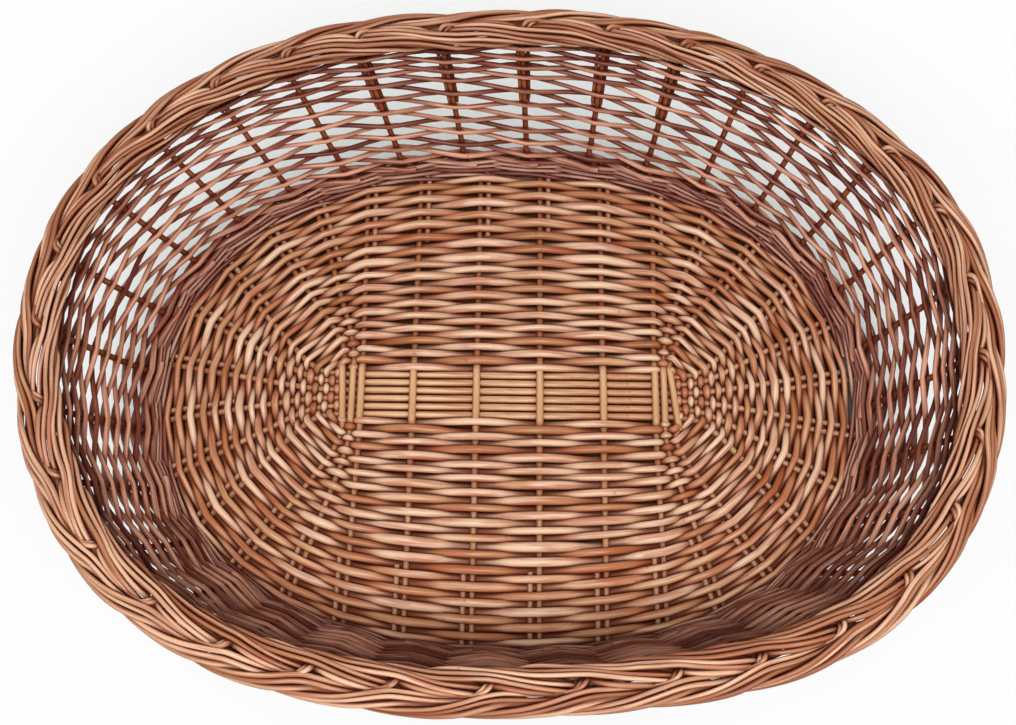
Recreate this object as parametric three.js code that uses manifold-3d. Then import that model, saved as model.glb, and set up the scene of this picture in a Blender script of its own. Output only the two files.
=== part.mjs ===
// An oval pet basket of woven willow: a base woven on pierced sticks, stakes that stand round it with a
// pair of bye-stakes beside each, an upsett wale at the foot, an open randed wall and a plaited border.
// Millimetres, +Z up. The origin is on the floor under the middle of the base, and +X runs along it.
import * as THREE from "three";
import { LoftGeometry } from "three/addons/geometries/LoftGeometry.js";
import { mergeVertices } from "three/addons/utils/BufferGeometryUtils.js";
import Module from "manifold-3d";

const wasm = await Module();
wasm.setup();

// Overall sizes
const RIM_LENGTH = 720;
const RIM_WIDTH = 544;
const HEIGHT = 200;
const BASE_LENGTH = 612;
const BASE_WIDTH = 438;

// Squareness of the two ovals: 2 is an ellipse
const RIM_SQUARENESS = 2.28;
const BASE_SQUARENESS = 2.24;

// Base sticks: long ones along X, and short ones across them that are split where the long ones pass
const STICK_DIAMETER = 7;
const LONG_STICKS = 6;
const MIDDLE_STICKS = 4;
const MIDDLE_STICK_PITCH = 57;
const CORNER_STICKS = 3;
const SLATH_LENGTH = 294;
const STICK_SPACE = 0.4;
const SPLIT_HALF_THICKNESS = 3.3;
const SPLIT_TAPER = 7;
const FAN_REACH = 22;

// Woven bodies: how far the weavers stand out from the sticks and stakes that they pass
const BASE_WEAVE_COVER = 6;
const UPSETT_WEAVE_COVER = 4.2;
const SIDE_WEAVE_COVER = 2.8;
const UPSETT_HEIGHT = 38;
const BORDER_WIDTH = 36;
const BORDER_DEPTH = 26;
const BORDER_CORNER = 8;

// Stakes: a foot pushed into the base beside a stick's end, a bend at the edge, and a straight rise
const STAKE_DIAMETER = 5;
const STAKE_FOOT_LENGTH = 62;
const STAKE_STANDOFF = 8;
const STAKE_BEND_RISE = 13;
const STAKE_LEAN = 13;
const STAKE_SOCKET_DEPTH = 14;
const BYE_STAKE_DIAMETER = 4;
const BYE_STAKE_FOOT_HEIGHT = 105;
const BYE_STAKE_PAIR_DEPTH = 5.6;

// Fits
const CLEARANCE = 0.3;
const FOOT_TO_STICK = 1.6;

// Fineness of the facets
const OVAL_SAMPLES = 1440;
const RING_STATIONS = 60;
const ROD_SIDES = 6;
const BEND_STEPS = 2;

// Sizes that follow from those above
const SLATH_PITCH = STICK_DIAMETER + STICK_SPACE;
const SLATH_WIDTH = (LONG_STICKS - 1) * SLATH_PITCH + STICK_DIAMETER;
const SPLIT_HEIGHT = STICK_DIAMETER + 2 * CLEARANCE + 2 * SPLIT_HALF_THICKNESS;
const BASE_THICKNESS = Math.max(STICK_DIAMETER + 2 * BASE_WEAVE_COVER, SPLIT_HEIGHT + CLEARANCE);
const BASE_MIDDLE = BASE_THICKNESS / 2;
const WINDOW_HALF_WIDTH = SLATH_WIDTH / 2 + CLEARANCE + SPLIT_TAPER;
const WINDOW_HALF_LENGTH = (SLATH_LENGTH + STICK_DIAMETER) / 2 + CLEARANCE;
const FOOT_OFFSET = (STICK_DIAMETER + STAKE_DIAMETER) / 2 + FOOT_TO_STICK;
const RIM_MIDDLE = HEIGHT - BORDER_DEPTH / 2;
const BORDER_UNDERSIDE = HEIGHT - BORDER_DEPTH;
const STAKE_TOP = BORDER_UNDERSIDE + STAKE_SOCKET_DEPTH;

// Finishes of the willow
const BASE_STICK_FINISH = { color: 0xc79a68, roughness: 0.55, metalness: 0 };
const BASE_WEAVE_FINISH = { color: 0xc08a5c, roughness: 0.55, metalness: 0 };
const STAKE_FINISH = { color: 0x7a3f24, roughness: 0.6, metalness: 0 };
const UPSETT_FINISH = { color: 0x7d4a3a, roughness: 0.6, metalness: 0 };
const SIDE_WEAVE_FINISH = { color: 0x9c6250, roughness: 0.6, metalness: 0 };
const BORDER_FINISH = { color: 0xbb8158, roughness: 0.55, metalness: 0 };

// An oval in plan, asked for points by their share of the way round, counter-clockwise from +X
class Oval {
  constructor(length, width, squareness) {
    this.points = [];
    this.travelled = [0];
    for (let i = 0; i <= OVAL_SAMPLES; i += 1) {
      const angle = (i / OVAL_SAMPLES) * 2 * Math.PI;
      const along = Math.cos(angle);
      const across = Math.sin(angle);
      const x = (length / 2) * Math.sign(along) * Math.abs(along) ** (2 / squareness);
      const y = (width / 2) * Math.sign(across) * Math.abs(across) ** (2 / squareness);
      this.points.push(new THREE.Vector2(x, y));
      if (i > 0) {
        this.travelled.push(this.travelled[i - 1] + this.points[i].distanceTo(this.points[i - 1]));
      }
    }
    this.perimeter = this.travelled[OVAL_SAMPLES];
  }

  at(share) {
    const goal = (share - Math.floor(share)) * this.perimeter;
    let low = 0;
    let high = OVAL_SAMPLES;
    while (high - low > 1) {
      const middle = Math.floor((low + high) / 2);
      if (this.travelled[middle] <= goal) low = middle;
      else high = middle;
    }
    const step = this.points[high].clone().sub(this.points[low]);
    const part = (goal - this.travelled[low]) / (this.travelled[high] - this.travelled[low]);
    const point = this.points[low].clone().addScaledVector(step, part);
    const outward = new THREE.Vector2(step.y, -step.x).normalize();
    return { point, outward };
  }

  // The share at which the first quarter of the oval reaches this x
  shareAtX(x) {
    const i = this.points.findIndex((point) => point.x < x);
    return this.travelled[i] / this.perimeter;
  }
}

const baseOval = new Oval(BASE_LENGTH, BASE_WIDTH, BASE_SQUARENESS);
const rimOval = new Oval(RIM_LENGTH - BORDER_WIDTH, RIM_WIDTH - BORDER_WIDTH, RIM_SQUARENESS);

// A point of the wall's middle surface, moved outward by an offset
function wallPoint(share, z, offset = 0) {
  const foot = baseOval.at(share);
  const rim = rimOval.at(share);
  const bendTop = BASE_MIDDLE + STAKE_BEND_RISE;
  const rise = THREE.MathUtils.clamp((z - bendTop) / (RIM_MIDDLE - bendTop), 0, 1);
  const footPoint = foot.point.clone().addScaledVector(foot.outward, STAKE_STANDOFF);
  const outward = foot.outward.clone().lerp(rim.outward, rise).normalize();
  const plan = footPoint.lerp(rim.point, rise).addScaledVector(outward, offset);
  return new THREE.Vector3(plan.x, plan.y, z);
}

function toSolid(geometry) {
  const bare = new THREE.BufferGeometry();
  bare.setAttribute("position", geometry.getAttribute("position"));
  bare.setIndex(geometry.index);
  const merged = mergeVertices(bare);
  const mesh = new wasm.Mesh({
    numProp: 3,
    vertProperties: merged.attributes.position.array,
    triVerts: new Uint32Array(merged.index.array),
  });
  return new wasm.Manifold(mesh);
}

function toGeometry(solid) {
  const mesh = solid.getMesh();
  const geometry = new THREE.BufferGeometry();
  geometry.setAttribute("position", new THREE.BufferAttribute(mesh.vertProperties, 3));
  geometry.setIndex(new THREE.BufferAttribute(mesh.triVerts, 1));
  geometry.computeVertexNormals();
  return geometry;
}

// A route of straight stretches, whose sections stand across the mean direction at each point
class Route extends THREE.Curve {
  constructor(points) {
    super();
    this.points = points;
  }

  getPoint(share, target = new THREE.Vector3()) {
    const place = share * (this.points.length - 1);
    const i = Math.min(Math.floor(place), this.points.length - 2);
    return target.lerpVectors(this.points[i], this.points[i + 1], place - i);
  }

  getPointAt(share, target) {
    return this.getPoint(share, target);
  }

  getTangentAt(share, target = new THREE.Vector3()) {
    const last = this.points.length - 1;
    const i = Math.round(share * last);
    target.set(0, 0, 0);
    if (i > 0) target.add(this.points[i].clone().sub(this.points[i - 1]).normalize());
    if (i < last) target.add(this.points[i + 1].clone().sub(this.points[i]).normalize());
    return target.normalize();
  }
}

// A round rod through points
function rod(points, diameter) {
  const section = new THREE.Shape();
  for (let i = 0; i < ROD_SIDES; i += 1) {
    const angle = ((i + 0.5) / ROD_SIDES) * 2 * Math.PI;
    const x = (diameter / 2) * Math.cos(angle);
    const y = (diameter / 2) * Math.sin(angle);
    if (i === 0) section.moveTo(x, y);
    else section.lineTo(x, y);
  }
  const options = { steps: points.length - 1, bevelEnabled: false, extrudePath: new Route(points) };
  return toSolid(new THREE.ExtrudeGeometry(section, options));
}

// A ring round the basket, whose section is a list of [offset from the wall's middle, height] that
// runs outward along its underside first
function wallRing(section) {
  const loops = [];
  for (let i = 0; i <= RING_STATIONS; i += 1) {
    const share = (i % RING_STATIONS) / RING_STATIONS;
    loops.push(section.map(([offset, z]) => wallPoint(share, z, offset)).reverse());
  }
  return toSolid(new LoftGeometry(loops));
}

// A flat slab with the base's outline moved outward by an offset
function baseSlab(offset, bottom, top, window) {
  const outline = [];
  for (let i = 0; i < RING_STATIONS; i += 1) {
    const edge = baseOval.at(i / RING_STATIONS);
    outline.push(edge.point.clone().addScaledVector(edge.outward, offset));
  }
  const shape = new THREE.Shape(outline);
  if (window) shape.holes.push(window);
  const geometry = new THREE.ExtrudeGeometry(shape, { depth: top - bottom, bevelEnabled: false });
  geometry.translate(0, 0, bottom);
  return toSolid(geometry);
}

function rectangle(halfLength, halfWidth) {
  const path = new THREE.Path();
  path.moveTo(-halfLength, -halfWidth);
  path.lineTo(-halfLength, halfWidth);
  path.lineTo(halfLength, halfWidth);
  path.lineTo(halfLength, -halfWidth);
  path.closePath();
  return path;
}

// Where one stick reaches the base's edge, in the quarter where x and y are positive, and its route
// from the slath to there. A long stick or a corner stick turns out of line as it leaves the slath.
function fannedRay(start, heading, share) {
  const edge = baseOval.at(share).point;
  const turn = start.clone().addScaledVector(heading, FAN_REACH);
  const outward = edge.clone().sub(turn).normalize();
  const turned = turn.clone().addScaledVector(outward, FAN_REACH);
  const bend = new THREE.QuadraticBezierCurve(start, turn, turned);
  return { share, points: [...bend.getPoints(BEND_STEPS), edge], heading: outward };
}

function straightRay(x) {
  const share = baseOval.shareAtX(x);
  const edge = baseOval.at(share).point.clone().setX(x);
  const heading = new THREE.Vector2(0, 1);
  return { share, points: [new THREE.Vector2(x, WINDOW_HALF_WIDTH), edge], heading };
}

const longRows = LONG_STICKS / 2;
const outerMiddleX = ((MIDDLE_STICKS - 1) / 2) * MIDDLE_STICK_PITCH;
const endStep = baseOval.shareAtX(outerMiddleX) / (longRows + CORNER_STICKS + 0.5);
const longRays = [];
for (let row = 0; row < longRows; row += 1) {
  const start = new THREE.Vector2(WINDOW_HALF_LENGTH, (row + 0.5) * SLATH_PITCH);
  longRays.push(fannedRay(start, new THREE.Vector2(1, 0), (row + 0.5) * endStep));
}
const cornerRays = [];
for (let column = 0; column < CORNER_STICKS; column += 1) {
  const start = new THREE.Vector2(SLATH_LENGTH / 2 - column * SLATH_PITCH, WINDOW_HALF_WIDTH);
  const share = (longRows + column + 0.5) * endStep;
  cornerRays.push(fannedRay(start, new THREE.Vector2(0, 1), share));
}
const middleRays = [];
for (let column = 0; column < MIDDLE_STICKS / 2; column += 1) {
  middleRays.push(straightRay(outerMiddleX - column * MIDDLE_STICK_PITCH));
}

// A ray turned into another quarter, with the side of it that lies clockwise seen from above
function rayIn(ray, signX, signY) {
  const flip = (v) => new THREE.Vector2(v.x * signX, v.y * signY);
  const heading = flip(ray.heading);
  const fromAxis = signX > 0 ? ray.share : 0.5 - ray.share;
  return {
    share: signY > 0 ? fromAxis : 1 - fromAxis,
    points: ray.points.map(flip),
    heading,
    clockwise: new THREE.Vector2(heading.y, -heading.x),
  };
}

const raise = (point, z) => new THREE.Vector3(point.x, point.y, z);

function stickArm(ray, diameter, innerReach, outerReach) {
  const plan = ray.points.map((point) => point.clone());
  const inward = plan[0].clone().sub(plan[1]).normalize();
  plan[0].addScaledVector(inward, innerReach);
  plan[plan.length - 1].addScaledVector(ray.heading, outerReach);
  return rod(plan.map((point) => raise(point, BASE_MIDDLE)), diameter);
}

// The pieces: each base stick, and what has to be cut away from the weave to let it through
const pieces = [];
const stickEnvelope = baseSlab(-CLEARANCE, 0, BASE_THICKNESS);
const stickChannels = [];
const rays = [];

function addPiece(name, solid, finish) {
  pieces.push({ name, solid, finish });
}

function cutStickChannel(ray) {
  stickChannels.push(stickArm(ray, STICK_DIAMETER + 2 * CLEARANCE, STICK_DIAMETER, STICK_DIAMETER));
}

for (let i = 0; i < LONG_STICKS; i += 1) {
  const row = i - (LONG_STICKS - 1) / 2;
  const ray = longRays[Math.abs(row) - 0.5];
  const east = rayIn(ray, 1, Math.sign(row));
  const west = rayIn(ray, -1, Math.sign(row));
  const plan = [...west.points].reverse().concat(east.points);
  const whole = rod(plan.map((point) => raise(point, BASE_MIDDLE)), STICK_DIAMETER);
  addPiece(`base_stick_long_${i + 1}`, whole.intersect(stickEnvelope), BASE_STICK_FINISH);
  for (const end of [east, west]) {
    rays.push(end);
    cutStickChannel(end);
  }
}

// The split middle of a short stick: one half runs over the long sticks and the other under them
function splitMiddle(x) {
  const half = SLATH_WIDTH / 2 + CLEARANCE;
  const shape = new THREE.Shape();
  const stickHalf = STICK_DIAMETER / 2;
  shape.moveTo(-WINDOW_HALF_WIDTH, -stickHalf);
  shape.lineTo(-half, -SPLIT_HEIGHT / 2);
  shape.lineTo(half, -SPLIT_HEIGHT / 2);
  shape.lineTo(WINDOW_HALF_WIDTH, -stickHalf);
  shape.lineTo(WINDOW_HALF_WIDTH, stickHalf);
  shape.lineTo(half, SPLIT_HEIGHT / 2);
  shape.lineTo(-half, SPLIT_HEIGHT / 2);
  shape.lineTo(-WINDOW_HALF_WIDTH, stickHalf);
  const slit = new THREE.Path();
  const slitHalf = stickHalf + CLEARANCE;
  slit.moveTo(-half - SPLIT_TAPER / 2, 0);
  slit.lineTo(-half, slitHalf);
  slit.lineTo(half, slitHalf);
  slit.lineTo(half + SPLIT_TAPER / 2, 0);
  slit.lineTo(half, -slitHalf);
  slit.lineTo(-half, -slitHalf);
  shape.holes.push(slit);
  const geometry = new THREE.ExtrudeGeometry(shape, { depth: STICK_DIAMETER, bevelEnabled: false });
  geometry.translate(0, 0, -STICK_DIAMETER / 2);
  geometry.rotateX(Math.PI / 2);
  geometry.rotateZ(Math.PI / 2);
  geometry.translate(x, 0, BASE_MIDDLE);
  return toSolid(geometry);
}

const shortRays = [
  ...cornerRays.map((ray) => [ray, -1]),
  ...middleRays.map((ray) => [ray, -1]),
  ...[...middleRays].reverse().map((ray) => [ray, 1]),
  ...[...cornerRays].reverse().map((ray) => [ray, 1]),
];
shortRays.forEach(([ray, side], i) => {
  let stick = splitMiddle(side * ray.points[0].x);
  for (const signY of [1, -1]) {
    const end = rayIn(ray, side, signY);
    stick = stick.add(stickArm(end, STICK_DIAMETER, CLEARANCE, 0));
    rays.push(end);
    cutStickChannel(end);
  }
  const name = `base_stick_short_${String(i + 1).padStart(2, "0")}`;
  addPiece(name, stick.intersect(stickEnvelope), BASE_STICK_FINISH);
});

// One stake, thicker by a growth where it is the tool that cuts its own channel: its foot and bend,
// its rise, and the pair of bye-stakes that stand beside its upper part.
function stakeSolid(ray, growth) {
  const edge = ray.points[ray.points.length - 1];
  const besideStick = edge.clone().addScaledVector(ray.clockwise, FOOT_OFFSET);
  const footEnd = besideStick.clone().addScaledVector(ray.heading, -STAKE_FOOT_LENGTH - growth);
  const setBack = besideStick.clone().addScaledVector(ray.heading, -STAKE_DIAMETER / 2);
  const corner = setBack.clone().addScaledVector(ray.heading, STAKE_STANDOFF + STAKE_DIAMETER / 2);
  const wallShare = ray.share + STAKE_LEAN / baseOval.perimeter;
  const halfLeanShare = ray.share + (STAKE_LEAN - FOOT_OFFSET) / 2 / baseOval.perimeter;
  const bendTop = wallPoint(halfLeanShare, BASE_MIDDLE + STAKE_BEND_RISE);
  const bend = new THREE.QuadraticBezierCurve3(
    raise(setBack, BASE_MIDDLE),
    raise(corner, BASE_MIDDLE),
    bendTop,
  );
  const route = [
    raise(footEnd, BASE_MIDDLE),
    ...bend.getPoints(BEND_STEPS),
    wallPoint(wallShare, UPSETT_HEIGHT - STAKE_DIAMETER),
    wallPoint(wallShare, BYE_STAKE_FOOT_HEIGHT + 2 * STAKE_DIAMETER),
  ];
  const single = rod(route, STAKE_DIAMETER + 2 * growth);
  return single.add(upperStake(wallShare, growth));
}

// The upper stake between its bye-stakes, as one flat bar with tapered edges
function upperStake(share, growth) {
  const halfWidth = STAKE_DIAMETER / 2 + BYE_STAKE_DIAMETER + growth;
  const halfDepth = BYE_STAKE_PAIR_DEPTH / 2 + growth;
  const round = BYE_STAKE_DIAMETER / 2;
  const outline = [
    [halfWidth, 0],
    [halfWidth - round, halfDepth],
    [-halfWidth + round, halfDepth],
    [-halfWidth, 0],
    [-halfWidth + round, -halfDepth],
    [halfWidth - round, -halfDepth],
  ];
  const outward = rimOval.at(share).outward;
  const along = new THREE.Vector2(-outward.y, outward.x);
  const sectionAt = (z) => outline.map(([across, depth]) => {
    const middle = wallPoint(share, z);
    middle.x -= along.x * across - outward.x * depth;
    middle.y -= along.y * across - outward.y * depth;
    return middle;
  });
  const bottom = sectionAt(BYE_STAKE_FOOT_HEIGHT - growth);
  const top = sectionAt(STAKE_TOP + growth);
  return toSolid(new LoftGeometry([bottom, top], { capStart: true, capEnd: true }));
}

rays.sort((a, b) => a.share - b.share);
const stakeChannels = rays.map((ray) => stakeSolid(ray, CLEARANCE));
rays.forEach((ray, i) => {
  addPiece(`stake_${String(i + 1).padStart(2, "0")}`, stakeSolid(ray, 0), STAKE_FINISH);
});

function cutAll(body, tools) {
  return tools.reduce((left, tool) => left.subtract(tool), body);
}

// The base weave, round the slath, with the sticks and the feet of the stakes running through it
const slathWindow = rectangle(WINDOW_HALF_LENGTH, WINDOW_HALF_WIDTH);
const baseWeave = baseSlab(0, 0, BASE_THICKNESS, slathWindow);
addPiece("base_weave", cutAll(baseWeave, [...stickChannels, ...stakeChannels]), BASE_WEAVE_FINISH);

// The upsett wale, which grips the stakes where they turn up round the base's edge
const upsettHalf = STAKE_DIAMETER / 2 + UPSETT_WEAVE_COVER;
const baseEdgeOffset = CLEARANCE - STAKE_STANDOFF;
const upsettWale = wallRing([
  [baseEdgeOffset, 0],
  [upsettHalf, 0],
  [upsettHalf, UPSETT_HEIGHT],
  [-upsettHalf, UPSETT_HEIGHT],
  [-upsettHalf, BASE_THICKNESS + CLEARANCE],
  [baseEdgeOffset, BASE_THICKNESS + CLEARANCE],
]);
addPiece("upsett_wale", cutAll(upsettWale, stakeChannels), UPSETT_FINISH);

// The open randing of the wall
const sideHalf = STAKE_DIAMETER / 2 + SIDE_WEAVE_COVER;
const sideWeave = wallRing([
  [-sideHalf, UPSETT_HEIGHT + CLEARANCE],
  [sideHalf, UPSETT_HEIGHT + CLEARANCE],
  [sideHalf, BORDER_UNDERSIDE - CLEARANCE],
  [-sideHalf, BORDER_UNDERSIDE - CLEARANCE],
]);
addPiece("side_weave", cutAll(sideWeave, stakeChannels), SIDE_WEAVE_FINISH);

// The plaited border, with a socket for the top of each stake
const borderHalf = BORDER_WIDTH / 2;
const border = wallRing([
  [-borderHalf + BORDER_CORNER, BORDER_UNDERSIDE],
  [borderHalf - BORDER_CORNER, BORDER_UNDERSIDE],
  [borderHalf, BORDER_UNDERSIDE + BORDER_CORNER],
  [borderHalf, HEIGHT - BORDER_CORNER],
  [borderHalf - BORDER_CORNER, HEIGHT],
  [-borderHalf + BORDER_CORNER, HEIGHT],
  [-borderHalf, HEIGHT - BORDER_CORNER],
  [-borderHalf, BORDER_UNDERSIDE + BORDER_CORNER],
]);
addPiece("border", cutAll(border, stakeChannels), BORDER_FINISH);

const basket = new THREE.Group();
for (const { name, solid, finish } of pieces) {
  const mesh = new THREE.Mesh(toGeometry(solid), new THREE.MeshStandardMaterial(finish));
  mesh.name = name;
  basket.add(mesh);
}

export default basket;
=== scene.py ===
import math
import random

import bpy
import numpy as np
from mathutils import Matrix, Vector


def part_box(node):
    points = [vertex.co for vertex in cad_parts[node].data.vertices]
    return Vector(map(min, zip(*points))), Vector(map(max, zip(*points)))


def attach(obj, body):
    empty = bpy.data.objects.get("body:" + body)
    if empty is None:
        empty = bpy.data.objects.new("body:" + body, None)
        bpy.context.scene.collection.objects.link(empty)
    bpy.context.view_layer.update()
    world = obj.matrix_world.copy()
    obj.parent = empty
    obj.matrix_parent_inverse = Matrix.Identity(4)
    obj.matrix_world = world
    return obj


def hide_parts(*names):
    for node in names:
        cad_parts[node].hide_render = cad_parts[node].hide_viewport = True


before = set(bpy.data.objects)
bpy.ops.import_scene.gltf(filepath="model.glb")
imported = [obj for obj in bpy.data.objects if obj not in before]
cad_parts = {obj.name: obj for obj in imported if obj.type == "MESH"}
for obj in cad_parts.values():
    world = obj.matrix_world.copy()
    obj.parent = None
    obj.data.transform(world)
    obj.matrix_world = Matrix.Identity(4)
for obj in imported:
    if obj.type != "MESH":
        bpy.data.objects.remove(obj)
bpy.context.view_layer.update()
bpy.ops.object.select_all(action="DESELECT")
MM = 0.001

# The camera stands in front of the basket and high above it, and looks steeply down into it.
PHOTO_WIDTH = 1016
FOCAL_PIXELS = 1032
CAMERA_DISTANCE = 0.938
CAMERA_ELEVATION = math.radians(74.3)
CAMERA_PITCH = math.radians(72.3)
CAMERA_YAW = math.radians(0.65)

bpy.ops.object.camera_add()
camera = bpy.context.object
camera.name = "camera"
camera.data.lens = camera.data.sensor_width * FOCAL_PIXELS / PHOTO_WIDTH
stand = Vector((0, -math.cos(CAMERA_ELEVATION), math.sin(CAMERA_ELEVATION))) * CAMERA_DISTANCE
camera.location = Matrix.Rotation(CAMERA_YAW, 3, "Z") @ stand
camera.rotation_euler = (math.radians(90) - CAMERA_PITCH, 0, CAMERA_YAW)
bpy.context.scene.camera = camera
bpy.ops.object.select_all(action="DESELECT")


# The long base sticks are six straight peeled willow sticks, side by side along the middle of the
# base. Each tapers to its two ends, and fans out there so that the weavers can pass round it.
LONG_STICKS = 6
LONG_STICK_RADIUS = 3.5 * MM
LONG_STICK_WAVER = 0.15 * MM
LONG_STICK_POINTS = 20
STICK_END_RADIUS = 2.6 * MM
SLATH_PITCH = 7.4 * MM
SLATH_HALF_LENGTH = 150.8 * MM
SLATH_HALF_WIDTH = 22.3 * MM
FAN_REACH = 22 * MM
FAN_STEPS = 4
RAY_POINTS = 8
BASE_SQUARENESS = 2.24
CORNER_STICKS = 3
CORNER_STICK_X = 147 * MM
MIDDLE_STICKS = 4
MIDDLE_STICK_PITCH = 57 * MM
MIDDLE_RAY_POINTS = 12

base_low, base_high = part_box("base_weave")
BASE_MIDDLE = (base_low.z + base_high.z) / 2
dice = random.Random(7)


def way_along(line):
    """How far along a line each of its points lies"""
    return np.concatenate([[0], np.cumsum(np.linalg.norm(np.diff(line, axis=0), axis=1))])


class Oval:
    """An oval in plan. It is asked for places by their share of the way round, counter-clockwise
    from +X, where 1 is the whole way."""

    POINTS = 1440
    SHARE_BESIDE = 1e-4

    def __init__(self, length, width, squareness):
        angle = np.linspace(0, 2 * np.pi, self.POINTS + 1)
        reach = np.stack([np.cos(angle), np.sin(angle)], axis=1)
        half = np.array([length, width]) / 2
        self.edge = half * np.sign(reach) * np.abs(reach) ** (2 / squareness)
        way = way_along(self.edge)
        self.perimeter = way[-1]
        self.share = way / self.perimeter

    def at(self, share):
        turn = np.mod(share, 1)
        return np.stack([np.interp(turn, self.share, self.edge[:, i]) for i in (0, 1)], axis=-1)

    def outward(self, share):
        share = np.asarray(share)
        along = self.at(share + self.SHARE_BESIDE) - self.at(share - self.SHARE_BESIDE)
        along /= np.linalg.norm(along, axis=-1, keepdims=True)
        return np.stack([along[..., 1], -along[..., 0]], axis=-1)


def flowing(points, per_span, ease=1.0):
    """A line through points, with per_span steps between each two. An ease of 1 bends it evenly,
    and less ease makes it straighter between the points."""
    points = np.asarray(points, float)
    padded = np.vstack([2 * points[0] - points[1], points, 2 * points[-1] - points[-2]])
    t = np.linspace(0, 1, per_span, endpoint=False)[:, None]
    spans = []
    for a, b, c, d in zip(padded[:-3], padded[1:-2], padded[2:-1], padded[3:]):
        bend = (2 * a - 5 * b + 4 * c - d) * t + (3 * b - a - 3 * c + d) * t**2
        spans.append(b + t * ((1 - ease) * (c - b) + ease * 0.5 * (c - a + bend)))
    return np.vstack([*spans, points[-1:]])


ROD_SIDES = 8
CUT_END = -1
SEAM_ROOM = 0.01
WELD_REACH = 0.001 * MM
SMOOTH_BELOW = math.radians(50)


def bend_rods(name, rods):
    """One mesh of round rods, each given as its middle line and its radius along it.
    The UV map holds metres along the rod, or CUT_END on its two ends, and the rod's number plus
    the share of the way round it, which keeps a little room from the next whole number."""
    curve = bpy.data.curves.new(name, "CURVE")
    curve.dimensions = "3D"
    curve.bevel_depth = 1
    curve.bevel_resolution = ROD_SIDES // 2 - 2
    curve.use_fill_caps = True
    for line, radius in rods:
        spline = curve.splines.new("POLY")
        spline.points.add(len(line) - 1)
        spline.points.foreach_set("co", np.c_[line, np.ones(len(line))].ravel())
        spline.points.foreach_set("radius", np.array(np.broadcast_to(radius, len(line)), float))
    piece = bpy.data.objects.new(name, curve)
    bpy.context.collection.objects.link(piece)
    bpy.context.view_layer.objects.active = piece
    piece.select_set(True)
    bpy.ops.object.convert(target="MESH")

    # The triangles of all the cut ends come first in the mesh, then the long sides rod by rod.
    mesh = piece.data
    layer = mesh.uv_layers[0]
    uv = np.empty(len(mesh.loops) * 2)
    layer.uv.foreach_get("vector", uv)
    uv = uv.reshape(-1, 2)
    end_corners = 2 * 3 * (ROD_SIDES - 2)
    start = end_corners * len(rods)
    ends = uv[:start].reshape(len(rods), end_corners, 2)
    ends[..., 0] = CUT_END
    ends[..., 1] = np.arange(len(rods))[:, None] + 0.5
    for number, (line, _) in enumerate(rods):
        spans = len(line) - 1
        stop = start + 4 * ROD_SIDES * spans
        station = np.rint(uv[start:stop, 0] * spans).astype(int)
        uv[start:stop, 0] = way_along(line)[station]
        uv[start:stop, 1] = number + SEAM_ROOM + (1 - 2 * SEAM_ROOM) * uv[start:stop, 1]
        start = stop
    layer.uv.foreach_set("vector", uv.ravel())

    bpy.ops.object.mode_set(mode="EDIT")
    bpy.ops.mesh.select_all(action="SELECT")
    bpy.ops.mesh.remove_doubles(threshold=WELD_REACH)
    bpy.ops.mesh.normals_make_consistent(inside=False)
    bpy.ops.object.mode_set(mode="OBJECT")
    bpy.ops.object.shade_smooth_by_angle(angle=SMOOTH_BELOW)
    bpy.ops.object.select_all(action="DESELECT")
    return piece


class Value:
    """A shader socket that Python's sums join to others through Math nodes"""

    def __init__(self, finish, socket):
        self.finish = finish
        self.socket = socket

    def through(self, operation, *others):
        return self.finish.node("ShaderNodeMath", {"operation": operation}, self, *others)

    def __add__(self, other):
        return self.through("ADD", other)

    def __mul__(self, other):
        return self.through("MULTIPLY", other)

    def __sub__(self, other):
        return self.through("SUBTRACT", other)

    def __rsub__(self, other):
        return self.finish.node("ShaderNodeMath", {"operation": "SUBTRACT"}, other, self)

    __radd__ = __add__
    __rmul__ = __mul__


class Finish:
    """The nodes of a material or of the room, with one method that adds a node"""

    def __init__(self, owner):
        owner.use_nodes = True
        self.tree = owner.node_tree

    def join(self, value, socket):
        if isinstance(value, Value):
            self.tree.links.new(value.socket, socket)
        else:
            socket.default_value = value

    def node(self, kind, settings, *inputs, output=0, **named):
        node = self.tree.nodes.new(kind)
        for key, value in settings.items():
            setattr(node, key, value)
        for key, value in [*enumerate(inputs), *named.items()]:
            if value is not None:
                self.join(value, node.inputs[key])
        return Value(self, node.outputs[output])

    def vector(self, x, y, z):
        return self.node("ShaderNodeCombineXYZ", {}, x, y, z)

    def dice(self, number):
        """A throw between 0 and 1, which is always the same for the same number"""
        settings = {"noise_dimensions": "1D"}
        return self.node("ShaderNodeTexWhiteNoise", settings, W=number, output="Value")

    def openness(self, reach, samples, **named):
        """How open to the air a surface is: 1 where nothing lies within reach"""
        kind = "ShaderNodeAmbientOcclusion"
        return self.node(kind, {"samples": samples}, Distance=reach, output="AO", **named)

    def blend(self, factor, first, second):
        """A colour that goes from the first to the second as the factor goes from 0 to 1"""
        number_and_vector_sockets = [None] * 5
        colours = (*number_and_vector_sockets, first, second)
        return self.node("ShaderNodeMix", {"data_type": "RGBA"}, factor, *colours, output=2)

    def step(self, value, low, high):
        """A soft step: 0 where the value is at low or before it, 1 at high or past it"""
        settings = {"interpolation_type": "SMOOTHSTEP"}
        return self.node("ShaderNodeMapRange", settings, value, low, high, 0.0, 1.0)


def paint(red, green, blue):
    """A colour as a person reads it off a screen, from 0 to 255, made linear"""
    shares = [level / 255 for level in (red, green, blue)]
    return (*[s / 12.92 if s <= 0.04045 else ((s + 0.055) / 1.055) ** 2.4 for s in shares], 1.0)


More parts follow.
